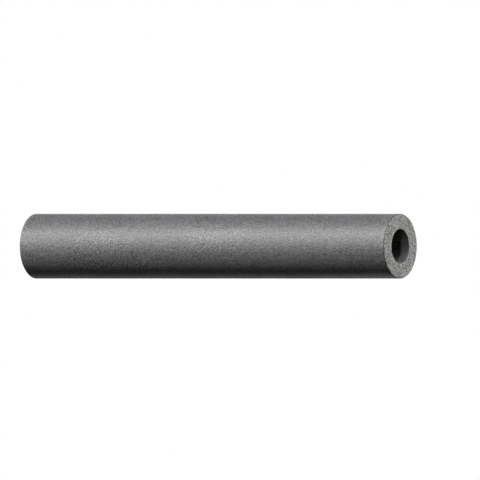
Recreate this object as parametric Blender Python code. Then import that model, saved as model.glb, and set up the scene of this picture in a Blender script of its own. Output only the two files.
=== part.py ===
"""Pipe lagging: one length of closed-cell polyethylene foam tube, cut square at both ends.

The tube lies on its side, as in the photograph. +X runs along the bore, +Z is up, and the
origin is under the middle of the tube, on the surface that it lies on. All sizes are metres.
"""

import math

import bmesh
import bpy

# Driving dimensions, at the real size of the stock
PIPE_DIAMETER = 0.028
WALL = 0.013
LENGTH = 0.353
CUT_EDGE_RADIUS = 0.0005

# How finely the round shapes are divided
SIDES = 72
CORNER_STEPS = 3

# Derived sizes
BORE_RADIUS = PIPE_DIAMETER / 2
OUTER_RADIUS = BORE_RADIUS + WALL
AXIS_HEIGHT = OUTER_RADIUS

# Finish of the foam's dark grey extruded skin
FOAM_COLOUR = (0.135, 0.136, 0.141, 1.0)
FOAM_ROUGHNESS = 0.55
FOAM_METALLIC = 0.0


def clear_scene():
    """Remove every object that is already in the scene."""
    for existing in list(bpy.data.objects):
        bpy.data.objects.remove(existing, do_unlink=True)


def foam_material():
    """Return the grey polyethylene foam's material."""
    material = bpy.data.materials.new("grey_polyethylene_foam")
    material.use_nodes = True
    shader = material.node_tree.nodes["Principled BSDF"]
    shader.inputs["Base Color"].default_value = FOAM_COLOUR
    shader.inputs["Roughness"].default_value = FOAM_ROUGHNESS
    shader.inputs["Metallic"].default_value = FOAM_METALLIC
    return material


def corner(centre_x, centre_radius, start_angle):
    """Return a quarter round of the wall's section as (x, radius) points."""
    step = math.radians(90) / CORNER_STEPS
    angles = [start_angle + step * index for index in range(CORNER_STEPS + 1)]
    return [
        (centre_x + CUT_EDGE_RADIUS * math.cos(a), centre_radius + CUT_EDGE_RADIUS * math.sin(a))
        for a in angles
    ]


def wall_section():
    """Return the outline of the wall cut along the axis: a long bar with softened corners."""
    end = LENGTH / 2 - CUT_EDGE_RADIUS
    inner = BORE_RADIUS + CUT_EDGE_RADIUS
    outer = OUTER_RADIUS - CUT_EDGE_RADIUS
    return [
        *corner(end, outer, math.radians(0)),
        *corner(-end, outer, math.radians(90)),
        *corner(-end, inner, math.radians(180)),
        *corner(end, inner, math.radians(270)),
    ]


def turned_tube(section):
    """Return a mesh of the section turned round the X axis, with one flat side facing down.

    The flats lie on the true outer and bore circles, so the tube is its nominal size across
    them and a round pipe of the bore's size passes through it.
    """
    half_side = math.pi / SIDES
    to_corner = 1 / math.cos(half_side)
    bm = bmesh.new()
    first = [
        bm.verts.new(
            (
                x,
                radius * to_corner * math.sin(half_side),
                -radius * to_corner * math.cos(half_side),
            )
        )
        for x, radius in section
    ]
    edges = [bm.edges.new((a, b)) for a, b in zip(first, first[1:] + first[:1])]
    bmesh.ops.spin(
        bm,
        geom=first + edges,
        cent=(0, 0, 0),
        axis=(1, 0, 0),
        angle=math.tau,
        steps=SIDES,
        use_merge=True,
    )
    bmesh.ops.recalc_face_normals(bm, faces=bm.faces)
    mesh = bpy.data.meshes.new("foam_tube")
    bm.to_mesh(mesh)
    bm.free()
    mesh.shade_smooth()
    mesh.set_sharp_from_angle(angle=math.radians(35))
    return mesh


def build_foam_tube():
    """Make the tube and lay it on the surface under it."""
    tube = bpy.data.objects.new("foam_tube", turned_tube(wall_section()))
    tube.data.materials.append(foam_material())
    tube.location = (0, 0, AXIS_HEIGHT)
    bpy.context.scene.collection.objects.link(tube)
    return tube


def main():
    """Build the whole model."""
    clear_scene()
    build_foam_tube()


main()
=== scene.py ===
"""Pipe lagging: one length of grey closed-cell polyethylene foam tube, lying on a pale floor.

The tube lies along X as in the CAD model: a crinkled extruded skin, two sawn end faces of open
foam cells and a smooth bore. All sizes are metres, angles are degrees and +Z is up.
"""

import logging
import math
from collections.abc import Sequence
from dataclasses import dataclass, field
from enum import Enum
from typing import Any

import bmesh
import bpy
import numpy as np
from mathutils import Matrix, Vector


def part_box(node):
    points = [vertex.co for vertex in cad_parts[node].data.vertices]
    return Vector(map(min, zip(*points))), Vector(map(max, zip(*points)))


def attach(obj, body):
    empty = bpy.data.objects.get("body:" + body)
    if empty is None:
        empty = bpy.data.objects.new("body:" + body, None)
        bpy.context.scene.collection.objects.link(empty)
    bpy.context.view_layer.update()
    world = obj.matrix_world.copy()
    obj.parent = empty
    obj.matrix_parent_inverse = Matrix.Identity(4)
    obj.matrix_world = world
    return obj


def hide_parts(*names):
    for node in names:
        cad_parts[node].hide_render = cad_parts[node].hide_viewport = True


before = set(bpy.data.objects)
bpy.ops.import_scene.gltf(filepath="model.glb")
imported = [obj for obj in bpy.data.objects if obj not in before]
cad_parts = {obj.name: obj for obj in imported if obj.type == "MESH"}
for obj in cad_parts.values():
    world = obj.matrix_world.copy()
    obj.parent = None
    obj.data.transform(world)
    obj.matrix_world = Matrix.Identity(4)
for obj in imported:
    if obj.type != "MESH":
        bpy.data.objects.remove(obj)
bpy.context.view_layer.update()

LOG = logging.getLogger("lagging")

Colour = tuple[float, float, float]
Span = tuple[float, float]
Factors = tuple[float, float, float]

MM = 0.001
CM3_IN_M3 = 1e6
PIPE_DIAMETER = 28 * MM
CAD_NODE = "foam_tube"
BAKE_MAP = "OFBake"
WHITE = (1.0, 1.0, 1.0, 1.0)
NOISE_MIDDLE = 0.5

# The numbers that the lathe keeps on the points until the mesh is finished
POINT_NUMBERS = ("along", "reach", "arc", "sawn", "bore", "turn")

# The patches where the skin came out rougher, and how strong its relief is outside them
PATCH_SIZE = 48 * MM
PATCH_SPAN: Span = (0.40, 0.60)
SMOOTH_STRENGTH = 0.4


class Finish(Enum):
    """The three finishes of the foam, in the order of the tube's material slots."""

    SKIN = 0
    SAWN = 1
    BORE = 2

    @property
    def material_input(self) -> str:
        """Return the name of the lathe's input that takes this finish's material."""
        return self.name.title() + " Material"


def find_socket(
    sockets: Sequence[bpy.types.NodeSocket], key: "str | int"
) -> bpy.types.NodeSocket:
    """Find one of a node's sockets.

    Args:
        sockets: The node's inputs, or its outputs.
        key: The socket's place, its identifier or its name.

    Returns:
        The socket.
    """
    if isinstance(key, int):
        return sockets[key]
    for socket in sockets:
        if socket.identifier == key:
            return socket
    return sockets[key]


class Socket:
    """One output of a node, whose arithmetic adds the tree's own maths nodes."""

    def __init__(self, graph: "Graph", socket: bpy.types.NodeSocket) -> None:
        """Wrap a socket of the graph's tree."""
        self.graph = graph
        self.socket = socket

    def __add__(self, other: "Socket | float") -> "Socket":
        """Return self + other."""
        return self.graph.math("ADD", self, other)

    __radd__ = __add__

    def __mul__(self, other: "Socket | float") -> "Socket":
        """Return self * other."""
        return self.graph.math("MULTIPLY", self, other)

    __rmul__ = __mul__

    def __sub__(self, other: "Socket | float") -> "Socket":
        """Return self - other."""
        return self.graph.math("SUBTRACT", self, other)

    def __rsub__(self, other: "Socket | float") -> "Socket":
        """Return other - self."""
        return self.graph.math("SUBTRACT", other, self)

    def __truediv__(self, other: "Socket | float") -> "Socket":
        """Return self / other."""
        return self.graph.math("DIVIDE", self, other)

    def __rtruediv__(self, other: "Socket | float") -> "Socket":
        """Return other / self."""
        return self.graph.math("DIVIDE", other, self)

    def __abs__(self) -> "Socket":
        """Return self without its sign."""
        return self.graph.math("ABSOLUTE", self)

    def sine(self) -> "Socket":
        """Return the sine of self, in radians."""
        return self.graph.math("SINE", self)

    def cosine(self) -> "Socket":
        """Return the cosine of self, in radians."""
        return self.graph.math("COSINE", self)

    def over(self, limit: float) -> "Socket":
        """Return 1 where self is over the limit, and 0 elsewhere."""
        return self.graph.math("GREATER_THAN", self, limit)

    def rise(self, start: float, end: float) -> "Socket":
        """Return a smooth rise from 0 at start to 1 at end; a fall where end is the lower one.

        Args:
            start: The value of self where the rise begins.
            end: The value of self where the rise is complete.

        Returns:
            The smoothed value, from 0 to 1.
        """
        low, high = min(start, end), max(start, end)
        limits = {"From Min": low, "From Max": high, "To Min": 0.0, "To Max": 1.0}
        if start > end:
            limits.update({"To Min": 1.0, "To Max": 0.0})
        settings = {"interpolation_type": "SMOOTHSTEP", "clamp": True}
        return self.graph.node("ShaderNodeMapRange", settings, {"Value": self, **limits})

    def other(self, out: "str | int") -> "Socket":
        """Return another output of the node that self belongs to."""
        return Socket(self.graph, find_socket(self.socket.node.outputs, out))


class Place(Socket):
    """A place in the object's space, in metres, at which patterns are read."""

    @classmethod
    def at(cls, vector: Socket) -> "Place":
        """Return the vector as a place."""
        return cls(vector.graph, vector.socket)

    def stretched(self, factors: Factors) -> "Place":
        """Return the place times one factor for each axis."""
        return Place.at(self.graph.vector_math("MULTIPLY", self, factors))

    def warped(self, size: float, by: float) -> "Place":
        """Return the place pushed about by noise, so that a pattern on it isn't regular.

        Args:
            size: The size of the noise's lumps, in metres.
            by: How far it pushes, in metres.

        Returns:
            The pushed place.
        """
        push = self.graph.node(
            "ShaderNodeTexNoise",
            {"noise_dimensions": "3D"},
            {"Vector": self, "Scale": 1 / size, "Detail": 1.0},
            "Color",
        )
        centred = self.graph.vector_math("SUBTRACT", push, (NOISE_MIDDLE,) * 3)
        pushed = self.graph.vector_math("ADD", self, self.graph.scaled(centred, 2 * by))
        return Place.at(pushed)

    def noise(self, size: float, detail: float, seed: "Socket | float") -> Socket:
        """Return smooth noise around its middle value, 0.5.

        Args:
            size: About how far apart its lumps are, in metres.
            detail: How many finer octaves it has.
            seed: Which of its patterns to take.

        Returns:
            The noise, from 0 to 1.
        """
        return self.graph.node(
            "ShaderNodeTexNoise",
            {"noise_dimensions": "4D", "normalize": True},
            {"Vector": self, "W": seed, "Scale": 1 / size, "Detail": detail, "Roughness": 0.5},
            "Fac",
        )

    def swing(self, size: float, detail: float, seed: "Socket | float") -> Socket:
        """Return the same noise around 0, from -0.5 to 0.5."""
        return self.noise(size, detail, seed) - NOISE_MIDDLE

    def cells(self, size: float, feature: str, softness: float | None = None) -> Socket:
        """Return a pattern of random cells.

        Args:
            size: About how wide a cell is, in metres.
            feature: What the Voronoi node measures.
            softness: How far neighbouring cells melt into each other, where they do.

        Returns:
            The measured distance, in cells.
        """
        values = {"Vector": self, "Scale": 1 / size}
        if softness is not None:
            values["Smoothness"] = softness
        settings = {"feature": feature, "voronoi_dimensions": "3D"}
        return self.graph.node("ShaderNodeTexVoronoi", settings, values, "Distance")


class Graph:
    """A node tree under construction, for a material or for geometry."""

    def __init__(self, tree: bpy.types.NodeTree) -> None:
        """Start from an empty tree."""
        self.tree = tree
        tree.nodes.clear()

    def node(
        self,
        kind: str,
        settings: dict[str, Any] | None = None,
        values: dict["str | int", Any] | None = None,
        out: "str | int" = 0,
    ) -> Socket:
        """Add a node.

        Args:
            kind: The node's type.
            settings: The node's own properties, which are set first.
            values: What goes into its sockets, each a link or a plain value.
            out: The output to return, by place, identifier or name.

        Returns:
            The chosen output of the new node, or an output node's first input.
        """
        made = self.tree.nodes.new(kind)
        for name, value in (settings or {}).items():
            setattr(made, name, value)
        for key, value in (values or {}).items():
            socket = find_socket(made.inputs, key)
            if isinstance(value, Socket):
                self.tree.links.new(value.socket, socket)
            else:
                socket.default_value = value
        if not made.outputs:
            return Socket(self, made.inputs[0])
        return Socket(self, find_socket(made.outputs, out))

    def math(self, operation: str, *values: "Socket | float") -> Socket:
        """Return the result of a Math node on the values."""
        return self.node("ShaderNodeMath", {"operation": operation}, dict(enumerate(values)))

    def vector_math(self, operation: str, *values: Any) -> Socket:
        """Return the result of a Vector Math node on the values.

        Args:
            operation: What the node does.
            values: The vectors that go into it, in order.

        Returns:
            The new vector, or the number that the operation measures.
        """
        out = "Value" if operation == "LENGTH" else "Vector"
        settings = {"operation": operation}
        return self.node("ShaderNodeVectorMath", settings, dict(enumerate(values)), out)

    def scaled(self, vector: Socket, by: "Socket | float") -> Socket:
        """Return the vector times a number."""
        values = {"Vector": vector, "Scale": by}
        return self.node("ShaderNodeVectorMath", {"operation": "SCALE"}, values, "Vector")

    def blend(self, share: Socket, first: Any, second: Any) -> Socket:
        """Blend two colours.

        Args:
            share: How much of the second colour there is, from 0 to 1.
            first: The colour where share is 0.
            second: The colour where share is 1.

        Returns:
            The blended colour.
        """
        return self.node(
            "ShaderNodeMix",
            {"data_type": "RGBA", "clamp_factor": True},
            {"Factor_Float": share, "A_Color": first, "B_Color": second},
            "Result_Color",
        )


def rough_patches(where: Place) -> Socket:
    """Return where the skin came out rougher, from 0 to 1."""
    return where.noise(PATCH_SIZE, detail=1.5, seed=7.0).rise(*PATCH_SPAN)


def patch_strength(where: Place) -> Socket:
    """Return how strong the skin's relief is: 1 in a rough patch, and less outside it."""
    return SMOOTH_STRENGTH + (1.0 - SMOOTH_STRENGTH) * rough_patches(where)


@dataclass(frozen=True)
class FoamFinish:
    """What the foam's three finishes share: a shader with a colour, a gloss and a relief."""

    name: str
    dark: Colour
    light: Colour
    roughness: float
    specular: float

    def material(self) -> bpy.types.Material:
        """Make the finish's material.

        Returns:
            The new material.
        """
        made = bpy.data.materials.new(self.name)
        made.use_nodes = True
        graph = Graph(made.node_tree)
        where = Place.at(graph.node("ShaderNodeTexCoord", out="Object"))
        shader = graph.node(
            "ShaderNodeBsdfPrincipled",
            values={
                "Base Color": self.colour(where),
                "Roughness": self.gloss(where),
                "Normal": self.relief(where),
                "Specular IOR Level": self.specular,
            },
        )
        graph.node("ShaderNodeOutputMaterial", values={"Surface": shader})
        return made

    def colour(self, where: Place) -> Socket:
        """Return the finish's colour over the surface."""
        raise NotImplementedError

    def gloss(self, where: Place) -> Socket:
        """Return the finish's roughness over the surface."""
        raise NotImplementedError

    def relief(self, where: Place) -> Socket:
        """Return the finish's bent normal."""
        raise NotImplementedError

    def grey(self, share: Socket) -> Socket:
        """Return the colour that goes from dark to light as share goes from 0 to 1."""
        return share.graph.blend(share, (*self.dark, 1.0), (*self.light, 1.0))

    @staticmethod
    def bump(height: Socket, depth: float) -> Socket:
        """Return the normal bent by a height, of which 1 stands for that depth in metres."""
        return height.graph.node("ShaderNodeBump", values={"Height": height, "Distance": depth})


@dataclass(frozen=True)
class CellularFinish(FoamFinish):
    """A finish on which the foam's cells show, by the walls between them and by fine specks."""

    cell: float
    warp_size: float
    warp: float
    wall_span: Span
    wall_share: float
    speck_size: float
    speck_span: Span
    speck_share: float

    def uneven(self, where: Place) -> Place:
        """Return the place pushed about, so that the cells differ in size and shape."""
        return where.warped(self.warp_size, self.warp)

    def walls(self, where: Place) -> Socket:
        """Return where the walls between the cells are, from 0 to 1."""
        return self.uneven(where).cells(self.cell, "DISTANCE_TO_EDGE").rise(*self.wall_span)

    def specks(self, where: Place) -> Socket:
        """Return the foam's fine pale and dark specks, from 0 to 1."""
        return where.noise(self.speck_size, detail=2.0, seed=9.0).rise(*self.speck_span)


@dataclass(frozen=True)
class CrinkledSkin(CellularFinish):
    """The dark grey skin that the extruder leaves: fine cells under a waxy, crinkled film."""

    name: str = "lagging skin"
    dark: Colour = (0.020, 0.021, 0.022)
    light: Colour = (0.222, 0.224, 0.230)
    roughness: float = 0.53
    specular: float = 1.0
    cell: float = 1.65 * MM
    warp_size: float = 3 * MM
    warp: float = 0.35 * MM
    wall_span: Span = (0.22, 0.02)
    wall_share: float = 0.50
    speck_size: float = 1.5 * MM
    speck_span: Span = (0.34, 0.66)
    speck_share: float = 0.28
    tone_share: float = 0.20
    dome_span: Span = (0.75, 0.05)
    dome_depth: float = 0.13 * MM
    dome_softness: float = 0.3
    crease_size: float = 2.1 * MM
    crease_span: Span = (0.0, 0.12)
    crease_depth: float = 0.04 * MM
    # The colour's crease share darkens the crease middles, as painted shade in the creases.
    crease_share: float = 0.05
    cloud_size: float = 14 * MM
    cloud_span: Span = (0.25, 0.75)
    cloud_share: float = 0.04
    scuff_size: float = 5 * MM
    scuff_stretch: Factors = (0.35, 1.0, 1.0)
    scuff_gloss: float = 0.04
    patch_gloss: float = 0.06
    film: Colour = (0.018, 0.018, 0.019)
    film_width: float = 0.6 * MM
    film_fade: float = 0.15 * MM
    half_length: float = field(kw_only=True)

    def _creases(self, where: Place) -> Socket:
        """Return the worm-like creases: 0 along their middles and 1 between them."""
        lumps = where.swing(self.crease_size, detail=1.0, seed=3.0)
        return abs(lumps).rise(*self.crease_span)

    def _from_middles(self, where: Place) -> Socket:
        """Return how far each point is from the middle of its cell, in cells."""
        return self.uneven(where).cells(self.cell, "SMOOTH_F1", self.dome_softness)

    def _domes(self, where: Place) -> Socket:
        """Return the cells' domes: 1 on top of a cell and 0 between cells."""
        return self._from_middles(where).rise(*self.dome_span)

    def _tones(self, where: Place) -> Socket:
        """Return how light each cell is, from 0 to 1 at random."""
        picked = self._from_middles(where).other("Color")
        return where.graph.node("ShaderNodeSeparateColor", values={"Color": picked}, out="Red")

    def _cut_film(self, where: Place) -> Socket:
        """Return where the film shows as a thin rim at the two cuts, from 0 to 1.

        Args:
            where: The place on the skin.

        Returns:
            The rim, 1 at the cuts and 0 elsewhere.
        """
        along = where.graph.node("ShaderNodeSeparateXYZ", values={"Vector": where}, out="X")
        start = self.half_length - self.film_width
        return abs(along).rise(start, start + self.film_fade)

    def colour(self, where: Place) -> Socket:
        """Return a dark grey that changes from cell to cell, darker along the creases as painted
        shade, and ends in a darker cut film.

        Args:
            where: The place on the skin.

        Returns:
            The colour there.
        """
        cloud = where.noise(self.cloud_size, detail=3.0, seed=5.0).rise(*self.cloud_span)
        share = (
            self.cloud_share * cloud
            + self.tone_share * self._tones(where)
            + self.speck_share * self.specks(where)
            + self.wall_share * self.walls(where)
            # painted shade: the colour darkens along the sunk crease middles
            + self.crease_share * self._creases(where)
        )
        return where.graph.blend(self._cut_film(where), self.grey(share), (*self.film, 1.0))

    def gloss(self, where: Place) -> Socket:
        """Return a satin roughness that changes with the scuffs and the rough patches.

        Args:
            where: The place on the skin.

        Returns:
            The roughness there.
        """
        scuffs = where.stretched(self.scuff_stretch).swing(self.scuff_size, detail=4.0, seed=11.0)
        scuffed = self.roughness + self.scuff_gloss * scuffs
        return scuffed - self.patch_gloss * rough_patches(where)

    def relief(self, where: Place) -> Socket:
        """Return the creases and the cells, stronger in the rough patches.

        Args:
            where: The place on the skin.

        Returns:
            The bent normal there.
        """
        creases = self._creases(where) * (self.crease_depth / MM)
        domes = self._domes(where) * (self.dome_depth / MM)
        return self.bump((creases + domes) * patch_strength(where), MM)


@dataclass(frozen=True)
class SawnFoam(CellularFinish):
    """The sawn end: warm mid grey foam whose cut cells are fine open pits."""

    name: str = "sawn foam"
    dark: Colour = (0.070, 0.068, 0.064)
    light: Colour = (0.460, 0.455, 0.435)
    roughness: float = 0.85
    specular: float = 0.3
    cell: float = 1.35 * MM
    warp_size: float = 1.5 * MM
    warp: float = 0.25 * MM
    wall_span: Span = (0.30, 0.03)
    # The walls' share makes the pits darker than the walls: painted shade in the open cells.
    wall_share: float = 0.35
    speck_size: float = 1.5 * MM
    speck_span: Span = (0.36, 0.64)
    speck_share: float = 0.6
    cloud_size: float = 5 * MM
    cloud_share: float = 0.4
    dust_size: float = 1 * MM
    dust_gloss: float = 0.2
    pit_depth: float = 0.50 * MM
    drag_size: float = 0.8 * MM
    drag_stretch: Factors = (1.0, 0.12, 1.0)
    drag_share: float = 0.25

    def colour(self, where: Place) -> Socket:
        """Return the cell walls' pale grey and the pits' darker one, which is painted shade in
        the open cells, with faint clouds.

        Args:
            where: The place on the sawn face.

        Returns:
            The colour there.
        """
        cloud = where.swing(self.cloud_size, detail=2.0, seed=4.0)
        share = (
            # Pale walls and darker pits: painted shade in the open cells.
            self.wall_share * self.walls(where)
            + self.speck_share * self.specks(where)
            + self.cloud_share * cloud
        )
        return self.grey(share)

    def gloss(self, where: Place) -> Socket:
        """Return a dry roughness with fine changes."""
        dust = where.swing(self.dust_size, detail=1.0, seed=2.0)
        return self.roughness + self.dust_gloss * dust

    def relief(self, where: Place) -> Socket:
        """Return the open cells and the saw's fine drag marks.

        Args:
            where: The place on the sawn face.

        Returns:
            The bent normal there.
        """
        drag = where.stretched(self.drag_stretch).noise(self.drag_size, detail=2.0, seed=6.0)
        height = (1.0 - self.drag_share) * self.walls(where) + self.drag_share * drag
        return self.bump(height, self.pit_depth)


@dataclass(frozen=True)
class SmoothBore(FoamFinish):
    """The bore: a smoother dark skin with the faint lines of the extruder's mandrel."""

    name: str = "lagging bore"
    dark: Colour = (0.085, 0.085, 0.088)
    light: Colour = (0.150, 0.150, 0.154)
    roughness: float = 0.7
    specular: float = 0.5
    line_size: float = 1.3 * MM
    line_stretch: Factors = (0.02, 1.0, 1.0)
    line_span: Span = (0.25, 0.75)
    line_depth: float = 0.12 * MM
    cloud_size: float = 6 * MM
    cloud_gloss: float = 0.15
    pebble_size: float = 1.1 * MM
    pebble_share: float = 0.4

    def _lines(self, where: Place) -> Socket:
        """Return the mandrel's lines along the bore, from 0 to 1."""
        return where.stretched(self.line_stretch).noise(self.line_size, detail=3.0, seed=8.0)

    def colour(self, where: Place) -> Socket:
        """Return a dark grey with faint streaks along the bore."""
        return self.grey(self._lines(where).rise(*self.line_span))

    def gloss(self, where: Place) -> Socket:
        """Return a dull roughness with soft clouds."""
        cloud = where.swing(self.cloud_size, detail=2.0, seed=1.0)
        return self.roughness + self.cloud_gloss * cloud

    def relief(self, where: Place) -> Socket:
        """Return the lines and a fine pebble.

        Args:
            where: The place in the bore.

        Returns:
            The bent normal there.
        """
        pebble = where.noise(self.pebble_size, detail=2.0, seed=12.0)
        height = (1.0 - self.pebble_share) * self._lines(where) + self.pebble_share * pebble
        return self.bump(height, self.line_depth)


@dataclass
class WallSection:
    """The tube's wall cut along its axis: a closed line of (x, radius) points.

    The rows follow the skin from the right face's rim to the left one's, then the left face
    inwards, the bore back to the right, and the right face outwards. The skin's edge shows on
    the sawn faces as a rim as wide as the edge's radius and the skin's fold together.
    """

    half_length: float
    outer_radius: float
    bore_radius: float
    edge_radius: float = 0.5 * MM
    edge_steps: int = 4
    skin_rows: int = 346
    face_rows: int = 22
    bore_rows: int = 80
    skin_fold: float = 0.15 * MM

    def _corner(self, x: float, radius: float, start: float) -> list[tuple[float, float]]:
        """Return a quarter round of the section.

        Args:
            x: The place of its centre along the tube.
            radius: The distance of its centre from the axis.
            start: The angle that it starts at.

        Returns:
            Its points, with both ends.
        """
        step = 90.0 / self.edge_steps
        angles = [math.radians(start + step * index) for index in range(self.edge_steps + 1)]
        return [
            (x + self.edge_radius * math.cos(a), radius + self.edge_radius * math.sin(a))
            for a in angles
        ]

    @staticmethod
    def _between(
        first: tuple[float, float], last: tuple[float, float], rows: int
    ) -> list[tuple[float, float]]:
        """Divide a straight run of the section.

        Args:
            first: The point that the run starts at.
            last: The point that it ends at.
            rows: How many equal rows it has.

        Returns:
            The points between the rows, without the run's two ends.
        """
        shares = [index / rows for index in range(1, rows)]
        return [
            (first[0] + (last[0] - first[0]) * s, first[1] + (last[1] - first[1]) * s)
            for s in shares
        ]

    def points(self) -> list[tuple[float, float, Finish]]:
        """Work out the whole section.

        Returns:
            Its points in order, each with the finish of the foam there.
        """
        end = self.half_length - self.edge_radius
        outer = self.outer_radius - self.edge_radius
        inner = self.bore_radius + self.edge_radius
        right_rim = self._corner(end, outer, 0.0)
        left_rim = self._corner(-end, outer, 90.0)
        left_bore = self._corner(-end, inner, 180.0)
        right_bore = self._corner(end, inner, 270.0)
        skin = [
            (self.half_length, outer - self.skin_fold),
            *right_rim,
            *self._between(right_rim[-1], left_rim[0], self.skin_rows),
            *left_rim,
            (-self.half_length, outer - self.skin_fold),
        ]
        bore = [
            *left_bore,
            *self._between(left_bore[-1], right_bore[0], self.bore_rows),
            *right_bore,
        ]
        left_face = self._between(skin[-1], bore[0], self.face_rows)
        right_face = self._between(bore[-1], skin[0], self.face_rows)
        runs = (
            (skin, Finish.SKIN),
            (left_face, Finish.SAWN),
            (bore, Finish.BORE),
            (right_face, Finish.SAWN),
        )
        return [(x, radius, finish) for run, finish in runs for x, radius in run]

    def mesh(self, name: str) -> bpy.types.Mesh:
        """Make the section a closed line of edges, with its numbers as attributes.

        Args:
            name: The mesh's name.

        Returns:
            The line in the XZ plane, with along, reach, arc, sawn and bore on its points.
        """
        points = self.points()
        edges = [(index, (index + 1) % len(points)) for index in range(len(points))]
        made = bpy.data.meshes.new(name)
        made.from_pydata([(x, 0.0, radius) for x, radius, _ in points], edges, [])
        steps = [math.dist(a[:2], b[:2]) for a, b in zip(points, points[1:])]
        columns = {
            "along": [x for x, _, _ in points],
            "reach": [radius for _, radius, _ in points],
            "arc": [0.0, *np.cumsum(steps)],
            "sawn": [float(finish is Finish.SAWN) for _, _, finish in points],
            "bore": [float(finish is Finish.BORE) for _, _, finish in points],
        }
        for key, column in columns.items():
            made.attributes.new(key, "FLOAT", "POINT").data.foreach_set("value", column)
        return made


@dataclass
class LatheTree:
    """The geometry tree that turns the section round its axis and presses the relief into it.

    A face is sawn foam or bore where the mean of that number on its corners is over a limit.
    """

    name: str = "lagging lathe"
    crease_size: float = 4.2 * MM
    crease_span: Span = (0.16, 0.0)
    crease_share: float = 0.5
    lump_size: float = 3 * MM
    lump_span: Span = (0.3, 0.7)
    sag_size: float = 60 * MM
    pit_size: float = 1.4 * MM
    pit_share: float = 0.6
    saw_size: float = 5 * MM
    saw_stretch: Factors = (1.0, 0.25, 1.0)
    saw_share: float = 0.9
    bore_wave_size: float = 9 * MM
    sawn_face_over: float = 0.3
    bore_face_over: float = 0.8
    tree: bpy.types.NodeTree = field(init=False)
    graph: Graph = field(init=False)
    entry: Socket = field(init=False)
    inputs: dict[str, str] = field(default_factory=dict, init=False)

    def __post_init__(self) -> None:
        """Start the tree, with its named inputs and its output."""
        self.tree = bpy.data.node_groups.new(self.name, "GeometryNodeTree")
        self.graph = Graph(self.tree)
        kinds = {
            "Section": "NodeSocketGeometry",
            "Sides": "NodeSocketInt",
            "Outer Radius": "NodeSocketFloat",
            "Axis Height": "NodeSocketFloat",
            "Crinkle Depth": "NodeSocketFloat",
            "Sag Depth": "NodeSocketFloat",
            "Pit Depth": "NodeSocketFloat",
            "Seed": "NodeSocketFloat",
            **{finish.material_input: "NodeSocketMaterial" for finish in Finish},
        }
        sockets = self.tree.interface
        for label, kind in kinds.items():
            made = sockets.new_socket(name=label, in_out="INPUT", socket_type=kind)
            self.inputs[label] = made.identifier
        sockets.new_socket(name="Tube", in_out="OUTPUT", socket_type="NodeSocketGeometry")
        self.entry = self.graph.node("NodeGroupInput")

    def build(self) -> bpy.types.NodeTree:
        """Fill the tree.

        Returns:
            The finished tree.
        """
        pressed = self._pressed(self._turned())
        self.graph.node("NodeGroupOutput", values={"Tube": self._dressed(pressed)})
        return self.tree

    def _given(self, label: str) -> Socket:
        """Return one of the tree's own inputs."""
        return self.entry.other(label)

    def _number(self, label: str) -> Socket:
        """Return one of the numbers on the points, by its attribute's name."""
        kind = "GeometryNodeInputNamedAttribute"
        return self.graph.node(kind, {"data_type": "FLOAT"}, {"Name": label}, "Attribute")

    def _turned(self) -> Socket:
        """Sweep the section round the axis, each point at its own true radius.

        Returns:
            The smooth tube.
        """
        graph = self.graph
        section = graph.node(
            "GeometryNodeMeshToCurve", values={"Mesh": self._given("Section")}, out="Curve"
        )
        ring = graph.node(
            "GeometryNodeCurvePrimitiveCircle",
            {"mode": "RADIUS"},
            {"Resolution": self._given("Sides"), "Radius": self._given("Outer Radius")},
            "Curve",
        )
        share = graph.node("GeometryNodeInputIndex") / self._given("Sides")
        marked = graph.node(
            "GeometryNodeStoreNamedAttribute",
            {"data_type": "FLOAT", "domain": "POINT"},
            {"Geometry": ring, "Name": "turn", "Value": share * math.tau},
            "Geometry",
        )
        swept = graph.node(
            "GeometryNodeCurveToMesh", values={"Curve": marked, "Profile Curve": section}
        )
        radius = self._number("reach")
        turn = self._number("turn")
        place = graph.node(
            "ShaderNodeCombineXYZ",
            values={
                "X": self._number("along"),
                "Y": radius * turn.sine(),
                "Z": self._given("Axis Height") - radius * turn.cosine(),
            },
        )
        return graph.node(
            "GeometryNodeSetPosition", values={"Geometry": swept, "Position": place}
        )

    def _skin_depth(self, where: Place) -> Socket:
        """Work out the skin's relief: creases and lumps, and a slow unevenness under them.

        Args:
            where: The place on the tube.

        Returns:
            How far the skin is pressed in there, in metres.
        """
        seed = self._given("Seed")
        lines = abs(where.swing(self.crease_size, detail=1.0, seed=seed))
        lumps = where.noise(self.lump_size, detail=1.0, seed=seed + 1.0).rise(*self.lump_span)
        crinkle = (
            self.crease_share * lines.rise(*self.crease_span)
            + (1.0 - self.crease_share) * lumps
        )
        sag = where.noise(self.sag_size, detail=1.0, seed=seed + 5.0) * self._given("Sag Depth")
        return crinkle * patch_strength(where) * self._given("Crinkle Depth") + sag

    def _sawn_depth(self, where: Place) -> Socket:
        """Work out the sawn faces' relief: open pits and the saw's waves.

        Args:
            where: The place on the tube.

        Returns:
            How far the sawn face is pressed in there, in metres.
        """
        seed = self._given("Seed")
        pits = where.noise(self.pit_size, detail=1.0, seed=seed + 9.0)
        across = where.stretched(self.saw_stretch)
        saw = across.noise(self.saw_size, detail=1.0, seed=seed + 2.0)
        return (self.pit_share * pits + self.saw_share * saw) * self._given("Pit Depth")

    def _bore_depth(self, where: Place) -> Socket:
        """Return how far the bore's soft waves are pressed in, in metres."""
        waves = where.noise(self.bore_wave_size, detail=1.0, seed=self._given("Seed") + 3.0)
        return waves * self._given("Pit Depth")

    def _pressed(self, tube: Socket) -> Socket:
        """Press each finish's own relief into the tube.

        Args:
            tube: The smooth tube.

        Returns:
            The tube with its relief.
        """
        graph = self.graph
        where = Place.at(graph.node("GeometryNodeInputPosition"))
        sawn = self._number("sawn")
        bore = self._number("bore")
        depth = (
            (1.0 - sawn - bore) * self._skin_depth(where)
            + sawn * self._sawn_depth(where)
            + bore * self._bore_depth(where)
        )
        inwards = graph.scaled(graph.node("GeometryNodeInputNormal"), 0.0 - depth)
        return graph.node("GeometryNodeSetPosition", values={"Geometry": tube, "Offset": inwards})

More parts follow.
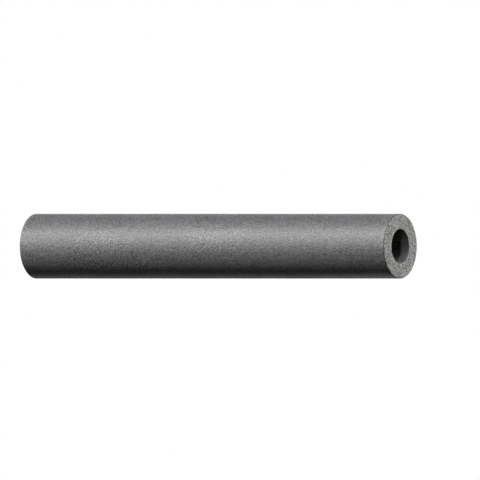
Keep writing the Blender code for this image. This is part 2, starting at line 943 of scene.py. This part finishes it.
    def _dressed(self, tube: Socket) -> Socket:
        """Make the tube real faces and give each its own finish.

        Args:
            tube: The tube with its relief.

        Returns:
            The dressed tube.
        """
        dressed = self.graph.node("GeometryNodeRealizeInstances", values={"Geometry": tube})
        chosen = {
            Finish.SKIN: True,
            Finish.SAWN: self._number("sawn").over(self.sawn_face_over),
            Finish.BORE: self._number("bore").over(self.bore_face_over),
        }
        for finish, faces in chosen.items():
            values = {
                "Geometry": dressed,
                "Selection": faces,
                "Material": self._given(finish.material_input),
            }
            dressed = self.graph.node("GeometryNodeSetMaterial", values=values)
        return dressed


def numbers(rows: Any, key: str, kind: type = np.float32, width: int = 1) -> np.ndarray:
    """Read one property of every row of a mesh's data.

    Args:
        rows: The mesh's vertices, loops or faces, or an attribute's data.
        key: The property's name.
        kind: The type of its numbers.
        width: How many numbers it has in each row.

    Returns:
        The numbers, all in one line.
    """
    column = np.zeros(len(rows) * width, kind)
    rows.foreach_get(key, column)
    return column


@dataclass
class FoamLagging:
    """The whole length of lagging, one closed piece of foam."""

    half_length: float
    outer_radius: float
    axis_height: float
    bore_radius: float = PIPE_DIAMETER / 2
    sides: int = 180
    crinkle_depth: float = 0.12 * MM
    sag_depth: float = 0.12 * MM
    pit_depth: float = 0.1 * MM
    seed: float = 4.0
    firmness: float = 1.0
    map_gap: float = 1.5 * MM

    @classmethod
    def from_cad(cls, node: str) -> "FoamLagging":
        """Take the lagging's size and place from its CAD node.

        Args:
            node: The CAD node's name.

        Returns:
            The lagging, not yet built.
        """
        low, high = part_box(node)
        return cls(
            half_length=(high.x - low.x) / 2,
            outer_radius=(high.z - low.z) / 2,
            axis_height=(high.z + low.z) / 2,
        )

    def finishes(self) -> dict[Finish, FoamFinish]:
        """Return what each part of the surface is finished with."""
        skin = CrinkledSkin(half_length=self.half_length)
        return {Finish.SKIN: skin, Finish.SAWN: SawnFoam(), Finish.BORE: SmoothBore()}

    def build(self) -> bpy.types.Object:
        """Build the tube, lay out its map, attach it to the root body and hide the CAD part.

        Returns:
            The finished piece.
        """
        mesh = self._turned_mesh()
        self._close(mesh)
        self._map(mesh)
        for name in POINT_NUMBERS:
            if name in mesh.attributes:
                mesh.attributes.remove(mesh.attributes[name])
        piece = bpy.data.objects.new("foam_lagging", mesh)
        bpy.context.scene.collection.objects.link(piece)
        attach(piece, "root")
        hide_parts(CAD_NODE)
        return piece

    def _turned_mesh(self) -> bpy.types.Mesh:
        """Run the geometry tree on the section.

        Returns:
            The plain mesh that it makes.
        """
        section = WallSection(self.half_length, self.outer_radius, self.bore_radius)
        blank = bpy.data.objects.new("section", section.mesh("section"))
        bpy.context.scene.collection.objects.link(blank)
        lathe = LatheTree()
        modifier = blank.modifiers.new("lathe", "NODES")
        modifier.node_group = lathe.build()
        settings = {
            "Sides": self.sides,
            "Outer Radius": self.outer_radius,
            "Axis Height": self.axis_height,
            "Crinkle Depth": self.crinkle_depth,
            "Sag Depth": self.sag_depth,
            "Pit Depth": self.pit_depth,
            "Seed": self.seed,
        }
        for part, finish in self.finishes().items():
            settings[part.material_input] = finish.material()
        for label, value in settings.items():
            modifier[lathe.inputs[label]] = value
        bpy.context.view_layer.update()
        depsgraph = bpy.context.evaluated_depsgraph_get()
        mesh = bpy.data.meshes.new_from_object(
            blank.evaluated_get(depsgraph), preserve_all_data_layers=True, depsgraph=depsgraph
        )
        mesh.name = "foam_lagging"
        bpy.data.objects.remove(blank, do_unlink=True)
        return mesh

    @staticmethod
    def _close(mesh: bpy.types.Mesh) -> None:
        """Point every face outwards and shade the mesh smoothly.

        Args:
            mesh: The tube's mesh, which is changed in place.
        """
        shell = bmesh.new()
        shell.from_mesh(mesh)
        bmesh.ops.recalc_face_normals(shell, faces=shell.faces)
        if shell.calc_volume(signed=True) < 0:
            bmesh.ops.reverse_faces(shell, faces=shell.faces)
        loose = [edge for edge in shell.edges if len(edge.link_faces) != 2]
        LOG.info("volume %.1f cm3, open edges %d", shell.calc_volume() * CM3_IN_M3, len(loose))
        shell.to_mesh(mesh)
        shell.free()
        mesh.shade_smooth()

    def _turns(self, places: np.ndarray, owner: np.ndarray) -> np.ndarray:
        """Work out how far round the axis each corner is, with no face split across the start.

        Args:
            places: Each corner's place.
            owner: The number of the face that each corner belongs to.

        Returns:
            The share of a full turn, from about 0 to 1.
        """
        count = np.bincount(owner)
        middle_y = np.bincount(owner, places[:, 1]) / count
        middle_z = np.bincount(owner, places[:, 2] - self.axis_height) / count
        middle = np.arctan2(middle_y, -middle_z)[owner]
        angle = np.arctan2(places[:, 1], self.axis_height - places[:, 2])
        aside = (angle - middle + math.pi) % math.tau - math.pi
        return (middle + aside + math.pi) / math.tau

    def _map(self, mesh: bpy.types.Mesh) -> None:
        """Lay the surface out flat: two long strips, and a disc for each sawn face.

        Args:
            mesh: The tube's mesh, which gets the map.
        """
        corners = numbers(mesh.loops, "vertex_index", np.int32)
        places = numbers(mesh.vertices, "co", width=3).reshape(-1, 3)[corners]
        arc = numbers(mesh.attributes["arc"].data, "value")[corners]
        sizes = numbers(mesh.polygons, "loop_total", np.int32)
        owner = np.repeat(np.arange(len(sizes)), sizes)
        finish = numbers(mesh.polygons, "material_index", np.int32)[owner]
        turn = self._turns(places, owner)
        gap = self.map_gap
        u = np.zeros(len(corners))
        v = np.zeros(len(corners))
        row = gap
        for part, radius in ((Finish.SKIN, self.outer_radius), (Finish.BORE, self.bore_radius)):
            strip = finish == part.value
            u[strip] = gap + arc[strip] - arc[strip].min()
            v[strip] = row + turn[strip] * math.tau * radius
            row += math.tau * radius + gap
        sawn = finish == Finish.SAWN.value
        aside = np.where(places[:, 0] > 0, 0.0, 2 * self.outer_radius + gap)
        u[sawn] = (gap + self.outer_radius + aside + places[:, 1])[sawn]
        v[sawn] = (row + self.outer_radius + places[:, 2] - self.axis_height)[sawn]
        extent = max(u.max(), v.max()) + gap
        layer = mesh.uv_layers.new(name=BAKE_MAP)
        layer.uv.foreach_set("vector", np.stack([u, v], 1).astype(np.float32).ravel() / extent)


@dataclass(frozen=True)
class Softbox:
    """One studio light, aimed at a point on the tube's axis.

    Its along is that point's place: 0 at the middle of the tube and 1 at its right end.
    """

    name: str
    azimuth: float
    elevation: float
    distance: float
    width: float
    height: float
    power: float
    along: float = 0.0
    spread: float = 180.0

    def build(self, middle: Vector, half_length: float) -> bpy.types.Object:
        """Place the light.

        Args:
            middle: The middle of the tube.
            half_length: Half the tube's length.

        Returns:
            The light's object.
        """
        lamp = bpy.data.lights.new(self.name, "AREA")
        lamp.shape = "RECTANGLE"
        lamp.size = self.width
        lamp.size_y = self.height
        lamp.energy = self.power
        lamp.spread = math.radians(self.spread)
        turn, rise = math.radians(self.azimuth), math.radians(self.elevation)
        back = Vector(
            (math.sin(turn) * math.cos(rise), -math.cos(turn) * math.cos(rise), math.sin(rise))
        )
        aim = middle + Vector((self.along * half_length, 0.0, 0.0))
        made = bpy.data.objects.new(self.name, lamp)
        made.location = aim + back * self.distance
        made.rotation_mode = "QUATERNION"
        made.rotation_quaternion = back.to_track_quat("Z", "Y")
        made.visible_camera = False
        bpy.context.scene.collection.objects.link(made)
        return made


@dataclass
class Studio:
    """The pale floor, the white surroundings and the soft lights.

    A light's numbers are its azimuth, elevation, distance, width, height and watts. The two
    small bore lights shine on the right end alone, so that only part of the bore is lit.
    """

    middle: Vector
    half_length: float
    floor_width: float = 6.0
    floor_colour: Colour = (0.85, 0.85, 0.85)
    fade_start: float = 0.22
    fade_end: float = 0.47
    lights: tuple[Softbox, ...] = (
        Softbox("key", -40.0, 35.0, 4.0, 1.2, 1.0, 53.0),
        Softbox("far left", -60.0, 20.0, 4.0, 1.2, 1.0, 42.0),
        Softbox("low left", -40.0, 8.0, 4.0, 1.2, 0.8, 30.0),
        Softbox("high front", -5.0, 45.0, 2.0, 0.8, 0.5, 26.0),
        Softbox("end", 105.0, 20.0, 2.0, 1.0, 1.0, 37.0),
        Softbox("bore", 15.5, 9.0, 0.5, 0.006, 0.006, 0.00027, along=1.0, spread=4.0),
        Softbox("bore floor", 32.0, 60.0, 0.5, 0.006, 0.006, 0.00045, along=1.0, spread=4.0),
        Softbox("back", 165.0, 25.0, 2.0, 0.8, 0.8, 12.0),
        Softbox("rim", 211.0, 22.0, 2.0, 0.8, 0.4, 1.5),
        Softbox("table glow", 211.0, -36.0, 2.0, 0.8, 0.4, 1.9),
    )

    def build(self) -> None:
        """Make the floor, the surroundings and the lights."""
        self._floor()
        self._surroundings()
        for light in self.lights:
            light.build(self.middle, self.half_length)

    def _floor_material(self) -> bpy.types.Material:
        """Make a plain matt finish that fades to white away from the tube.

        Returns:
            The new material.
        """
        made = bpy.data.materials.new("pale floor")
        made.use_nodes = True
        graph = Graph(made.node_tree)
        where = graph.node("ShaderNodeTexCoord", out="Object")
        matt = graph.node("ShaderNodeBsdfDiffuse", values={"Color": (*self.floor_colour, 1.0)})
        white = graph.node("ShaderNodeEmission", values={"Color": WHITE, "Strength": 1.0})
        away = graph.vector_math("LENGTH", where).rise(self.fade_start, self.fade_end)
        shader = graph.node("ShaderNodeMixShader", values={0: away, 1: matt, 2: white})
        graph.node("ShaderNodeOutputMaterial", values={"Surface": shader})
        return made

    def _floor(self) -> None:
        """Make a square floor under the tube, which throws no light back on it."""
        half = self.floor_width / 2
        corners = [(-half, -half, 0.0), (half, -half, 0.0), (half, half, 0.0), (-half, half, 0.0)]
        mesh = bpy.data.meshes.new("floor")
        mesh.from_pydata(corners, [], [(0, 1, 2, 3)])
        mesh.materials.append(self._floor_material())
        floor = bpy.data.objects.new("floor", mesh)
        floor.visible_diffuse = False
        floor.visible_glossy = False
        floor.visible_shadow = False
        bpy.context.scene.collection.objects.link(floor)

    @staticmethod
    def _surroundings() -> None:
        """Make surroundings that look white and light nothing."""
        world = bpy.data.worlds.new("surroundings")
        world.use_nodes = True
        bpy.context.scene.world = world
        graph = Graph(world.node_tree)
        white = graph.node("ShaderNodeBackground", values={"Color": WHITE})
        direct = graph.node("ShaderNodeLightPath", out="Is Camera Ray")
        seen = graph.node("ShaderNodeMixShader", values={0: direct, 2: white})
        graph.node("ShaderNodeOutputWorld", values={"Surface": seen})


@dataclass
class PhotoCamera:
    """The photograph's view: parallel, level, and turned from the tube's side.

    The tube's middle lies at middle_column and middle_row of the photograph, and the tube is
    tube_pixels high there.
    """

    middle: Vector
    tube_diameter: float
    azimuth: float = 31.0
    pixels: int = 480
    tube_pixels: float = 65.0
    middle_column: float = 218.3
    middle_row: float = 246.2
    distance: float = 1.2
    nearest: float = 0.01
    farthest: float = 20.0

    def build(self) -> bpy.types.Object:
        """Make the camera and give it to the scene.

        Returns:
            The camera's object.
        """
        turn = math.radians(self.azimuth)
        back = Vector((math.sin(turn), -math.cos(turn), 0.0))
        across = Vector((math.cos(turn), math.sin(turn), 0.0))
        pixel = self.tube_diameter / self.tube_pixels
        centre = self.pixels / 2
        aside = across * (centre - self.middle_column) * pixel
        above = Vector((0.0, 0.0, (self.middle_row - centre) * pixel))
        data = bpy.data.cameras.new("photo camera")
        data.type = "ORTHO"
        data.ortho_scale = self.pixels * pixel
        data.clip_start = self.nearest
        data.clip_end = self.farthest
        camera = bpy.data.objects.new("photo camera", data)
        camera.location = self.middle + aside + above + back * self.distance
        camera.rotation_mode = "QUATERNION"
        camera.rotation_quaternion = back.to_track_quat("Z", "Y")
        bpy.context.scene.collection.objects.link(camera)
        bpy.context.scene.camera = camera
        return camera


def main() -> None:
    """Build the lagging, the studio and the camera."""
    logging.basicConfig(level=logging.INFO, format="%(name)s: %(message)s")
    bpy.context.scene.view_settings.view_transform = "Standard"
    lagging = FoamLagging.from_cad(CAD_NODE)
    piece = lagging.build()
    LOG.info("%s has %d faces", piece.name, len(piece.data.polygons))
    middle = Vector((0.0, 0.0, lagging.axis_height))
    Studio(middle, lagging.half_length).build()
    PhotoCamera(middle, 2 * lagging.outer_radius).build()


if __name__ == "__main__":
    main()
